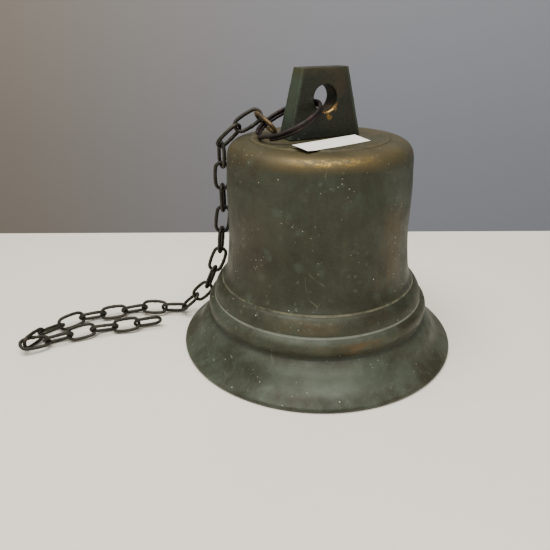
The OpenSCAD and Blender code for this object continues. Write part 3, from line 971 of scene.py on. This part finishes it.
def tube(name, path, radius, sides, mat, closed=False, rough=0.0, rs=0.6, caps=True):
    p, t, U, V = frames_along(path, closed)
    n = len(p)
    rad = radius if hasattr(radius, "__len__") else [radius] * n
    verts = []
    for i in range(n):
        for j in range(sides):
            a = 2 * math.pi * j / sides
            d = math.cos(a) * U[i] + math.sin(a) * V[i]
            q = p[i] + d * rad[i]
            if rough:
                q = q + d * min(0.25 * rough, fract(q, rs, 3) * rough - 0.2 * rough)
            verts.append(q)
    faces = grid_faces(n, sides, wrap_u=closed, wrap_v=True)
    if not closed and caps:
        m = len(verts)
        verts.append(p[0] - t[0] * rad[0] * 0.25)
        verts.append(p[-1] + t[-1] * rad[-1] * 0.25)
        for j in range(sides):
            faces.append((m, (j + 1) % sides, j))
            faces.append((m + 1, (n - 1) * sides + j, (n - 1) * sides + (j + 1) % sides))
    o = make(name, verts, faces, mat)
    bm = bmesh.new()
    bm.from_mesh(o.data)
    bmesh.ops.recalc_face_normals(bm, faces=bm.faces)
    bm.to_mesh(o.data)
    bm.free()
    o.data.shade_smooth()
    return o


def build_pin():
    prof = [(0, -9.6), (3.4, -9.6), (4.4, -9.2), (4.75, -8.6), (4.75, -7.8), (4.6, -7.45), (3.02, -7.42), (3.0, -7.0),
            (3.0, 11.2), (2.5, 11.8), (0, 11.9)]
    turned_piece("pivot_pin", prof, 64, M["pin"], "clapper", "clapper_pin", "Y", (0, 0, 118), 50)
    pts = []
    for i in range(21):
        a = math.radians(-70 + 320 * i / 20)
        pts.append((0, 9.9 + 1.45 * math.cos(a), 118 + 5.2 + 1.45 * math.sin(a)))
    leg1 = [(0, 9.9 + 0.40, 118 + z) for z in (3.3, 1.5, 0, -2.0, -3.4)] + [(0, 10.5, 113.4), (0, 11.1, 112.5), (0, 11.3, 112.3)]
    leg2 = [(0, 9.9 - 0.40, 118 + z) for z in (3.3, 1.5, 0, -2.0, -3.4)] + [(0, 9.2, 113.4), (0, 8.7, 112.5), (0, 8.6, 112.3)]
    path = catmull(leg1[::-1] + pts[1:-1] + leg2, 4)
    o = tube("pin_split_cotter", path, 0.40, 12, M["pin"])
    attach(o, "clapper")
    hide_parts("pin_cotter")


build_pin()


# -------------------------------------------------------------- split ring
def build_ring():
    lean = math.radians(25.5)
    c = np.array((-22.56, 0.0, 163.33))
    R = np.array(((math.cos(-lean), 0, math.sin(-lean)), (0, 1, 0), (-math.sin(-lean), 0, math.cos(-lean))))
    start = math.radians(205)
    pts = []
    n = 420
    total = 2 * math.pi * 2 - math.radians(44)
    step0, step1 = 2 * math.pi - math.radians(42), 2 * math.pi - math.radians(4)
    for i in range(n + 1):
        s = total * i / n
        k = min(1, max(0, (s - step0) / (step1 - step0)))
        k = k * k * (3 - 2 * k)
        z = -1.22 + 2.44 * k
        # the coils are never wound quite alike
        z += 0.05 * math.sin(s * 1.5 + 1) * (1 if s < step0 or s > step1 else 0)
        r = 22 + 0.10 * math.sin(s * 2.3) + (0.12 if s > step1 else -0.05)
        pts.append((r * math.cos(start + s), r * math.sin(start + s), z))
    rad = [1.26] * (n + 1)
    for i in range(6):
        rad[i] = 0.66 + 0.60 * math.sqrt(1 - (1 - i / 6) ** 2)
        rad[n - i] = rad[i]
    P = [c + R @ np.array(p) for p in pts]
    o = tube("split_ring_wire", P, rad, 20, M["ring"], rough=0.12, rs=0.55)
    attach(o, "ring")
    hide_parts("split_ring")


build_ring()


# ------------------------------------------------------------------- chain
def link_path(seed):
    """Middle line of one oval link: two tight ends, two long sides, and the small faults of bent wire."""
    r = np.random.default_rng(seed)
    half, wide, end = 10.0, 5.0, 4.6
    side = (wide * wide + (half - end) ** 2 - end * end) / (2 * (wide - end))
    turn = math.atan2(half - end, side - wide)
    phi = math.pi / 2 - turn
    e = [(half - end + end * math.cos(t), end * math.sin(t), 0) for t in np.linspace(-phi, phi, 31)[:-1]]
    q = [(side * math.cos(t), side * math.sin(t) - (side - wide), 0)
         for t in np.linspace(math.pi / 2 - turn, math.pi / 2 + turn, 33)[:-1]]
    p = np.array(e + q + [(-x, -y, 0) for x, y, _ in e] + [(-x, -y, 0) for x, y, _ in q], float)
    squeeze = r.uniform(0.0, 0.025)
    p[:, 1] *= 1 - squeeze * np.clip(1 - (np.abs(p[:, 0]) / 7) ** 2, 0, 1)
    a = math.radians(r.uniform(-1.4, 1.4)) * p[:, 0] / 10
    y = p[:, 1].copy()
    p[:, 1], p[:, 2] = y * np.cos(a), y * np.sin(a)
    return p


def build_chain():
    nodes = sorted(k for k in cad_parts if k.startswith("chain_link_"))
    for k, name in enumerate(nodes):
        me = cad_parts[name].data
        co = np.empty(len(me.vertices) * 3)
        me.vertices.foreach_get("co", co)
        co = co.reshape(-1, 3) * 1000
        lo, hi = co.min(0), co.max(0)
        # the link's own axes, from its mesh: long, wide, thin
        q = co - co.mean(0)
        w, v = np.linalg.eigh(q.T @ q)
        a, b = v[:, 2], v[:, 1]
        mid = [(co @ d).max() / 2 + (co @ d).min() / 2 for d in (a, b, v[:, 0])]
        cen = mid[0] * a + mid[1] * b + mid[2] * v[:, 0]
        c = np.cross(a, b)
        local = link_path(900 + k)
        P = cen + local @ np.stack([a, b, c])
        n = len(local)
        rad = np.full(n, 1.335)
        # the butt weld in the middle of one side, a little proud and uneven
        weld = 30 + 16
        for i in range(n):
            d = (i - weld) * 0.34
            rad[i] += 0.13 * math.exp(-(d / 0.9) ** 2) - 0.07 * math.exp(-((abs(d) - 1.7) / 0.5) ** 2)
        # wear where links bear on each other
        for i in range(n):
            if abs(local[i][0]) > 9.4:
                rad[i] -= 0.05
        o = tube("link_wire_%02d" % (k + 1), P, rad, 18, M["chain_brassy"] if k == 0 else M["chain"],
                 closed=True, rough=0.10, rs=0.5)
        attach(o, "link_%02d" % (k + 1))
        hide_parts(name)


build_chain()


# ------------------------------------------------------------------- label
def build_label():
    L, W = 53.0, 14.4
    nx, ny = 96, 30
    a, tip = math.radians(14), math.radians(8)
    top, bot = [], []
    for i in range(nx):
        for j in range(ny):
            u, v = i / (nx - 1), j / (ny - 1)
            x, y = (u - 0.5) * L, v * W
            # a limp slip that leans back towards the lug, with a lazy wave along it
            lift = 0.10 + 0.16 * (1 - v) * (0.5 + 0.5 * math.sin(u * 7.0 + 0.6)) \
                + 0.55 * max(0, (0.16 - u) / 0.16) ** 2 * (1 - v) + 0.18 * math.sin(math.pi * v) * math.sin(u * 11 + 1.5)
            x += 0.08 * noise.noise(Vector((u * 9, v * 3, 1)))
            y += 0.08 * noise.noise(Vector((u * 7, v * 3, 5)))
            X = -5.1 + x * math.cos(a) - y * math.cos(tip) * math.sin(a)
            Y = -37.1 + x * math.sin(a) + y * math.cos(tip) * math.cos(a)
            z = 151.36 + y * math.sin(tip) + max(0.02, lift)
            top.append((X, Y, z + 0.11))
            bot.append((X, Y, z))
    verts = top + bot
    n = nx * ny
    f1 = grid_faces(nx, ny)
    faces = [f[::-1] for f in f1] + [tuple(i + n for i in f) for f in f1]
    edge = [i * ny for i in range(nx)] + [(nx - 1) * ny + j for j in range(1, ny)] \
        + [i * ny + ny - 1 for i in range(nx - 2, -1, -1)] + [j for j in range(ny - 2, 0, -1)]
    for i in range(len(edge)):
        p, q = edge[i], edge[(i + 1) % len(edge)]
        faces.append((p, q, q + n, p + n))
    o = make("label_slip", verts, faces, M["paper"])
    bm = bmesh.new()
    bm.from_mesh(o.data)
    bmesh.ops.recalc_face_normals(bm, faces=bm.faces)
    bm.to_mesh(o.data)
    bm.free()
    es = o.modifiers.new("split", "EDGE_SPLIT")
    es.split_angle = math.radians(50)
    apply_mods(o)
    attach(o, "bell")
    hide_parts("lot_label")


build_label()


# ------------------------------------------------------------ stage, lights
def build_stage():
    table = Mat("stage_table")
    col = table.mix(table.ramp(table.noise(3, 4), 0.3, 0.7), srgb(240, 234, 218), srgb(235, 229, 214))
    tm = table.done(col, 0.62, 0.0, table.bump(table.noise(420, 5, 0.6), 0.12, 0.0002), 0.3)
    wall = Mat("stage_wall")
    wx, wy, wz = wall.xyz()
    wcol = wall.mix(wall.ramp(wx, -0.45, 0.55), srgb(129, 120, 107), srgb(134, 135, 141))
    wm = wall.done(wcol, 0.9, 0.0, wall.bump(wall.noise(200, 4, 0.6), 0.1, 0.0003), 0.2)
    # the table runs back to its far edge, the wall stands behind it
    def quad(name, pts, mat):
        me = bpy.data.meshes.new(name)
        me.from_pydata([tuple(turned(p)) for p in pts], [], [(0, 1, 2, 3)])
        me.update()
        o = bpy.data.objects.new(name, me)
        bpy.context.scene.collection.objects.link(o)
        me.materials.append(mat)
        return o
    quad("stage_floor", [(-3, -2.5, 0), (3, -2.5, 0), (3, 0.4114, 0), (-3, 0.0362, 0)], tm)
    quad("stage_backdrop", [(-3, 0.75, -1.2), (3, 0.75, -1.2), (3, 0.75, 2.2), (-3, 0.75, 2.2)], wm)


build_stage()


def area(name, loc, target, size, power, color):
    d = bpy.data.lights.new(name, "AREA")
    d.shape = "RECTANGLE"
    d.size, d.size_y = size
    d.energy = power
    d.color = color
    o = bpy.data.objects.new(name, d)
    loc = turned(loc)
    o.location = loc
    o.rotation_euler = (turned(target) - loc).to_track_quat("-Z", "Y").to_euler()
    bpy.context.scene.collection.objects.link(o)


world = bpy.data.worlds.new("studio")
bpy.context.scene.world = world
world.use_nodes = True
bg = next(n for n in world.node_tree.nodes if n.type == "BACKGROUND")
bg.inputs[0].default_value = (0.86, 0.88, 0.92, 1)
bg.inputs[1].default_value = 0.50
area("key_ceiling", (-0.1, -0.35, 1.45), (0, 0, 0.05), (1.5, 0.9), 37, (1.0, 0.98, 0.935))
area("fill_front", (0.5, -1.3, 0.9), (0, 0, 0.08), (1.2, 0.9), 1.5, (0.97, 0.99, 1.0))
area("fill_left", (-1.2, -0.4, 0.7), (0, 0, 0.08), (0.8, 0.8), 1.2, (1.0, 0.98, 0.95))
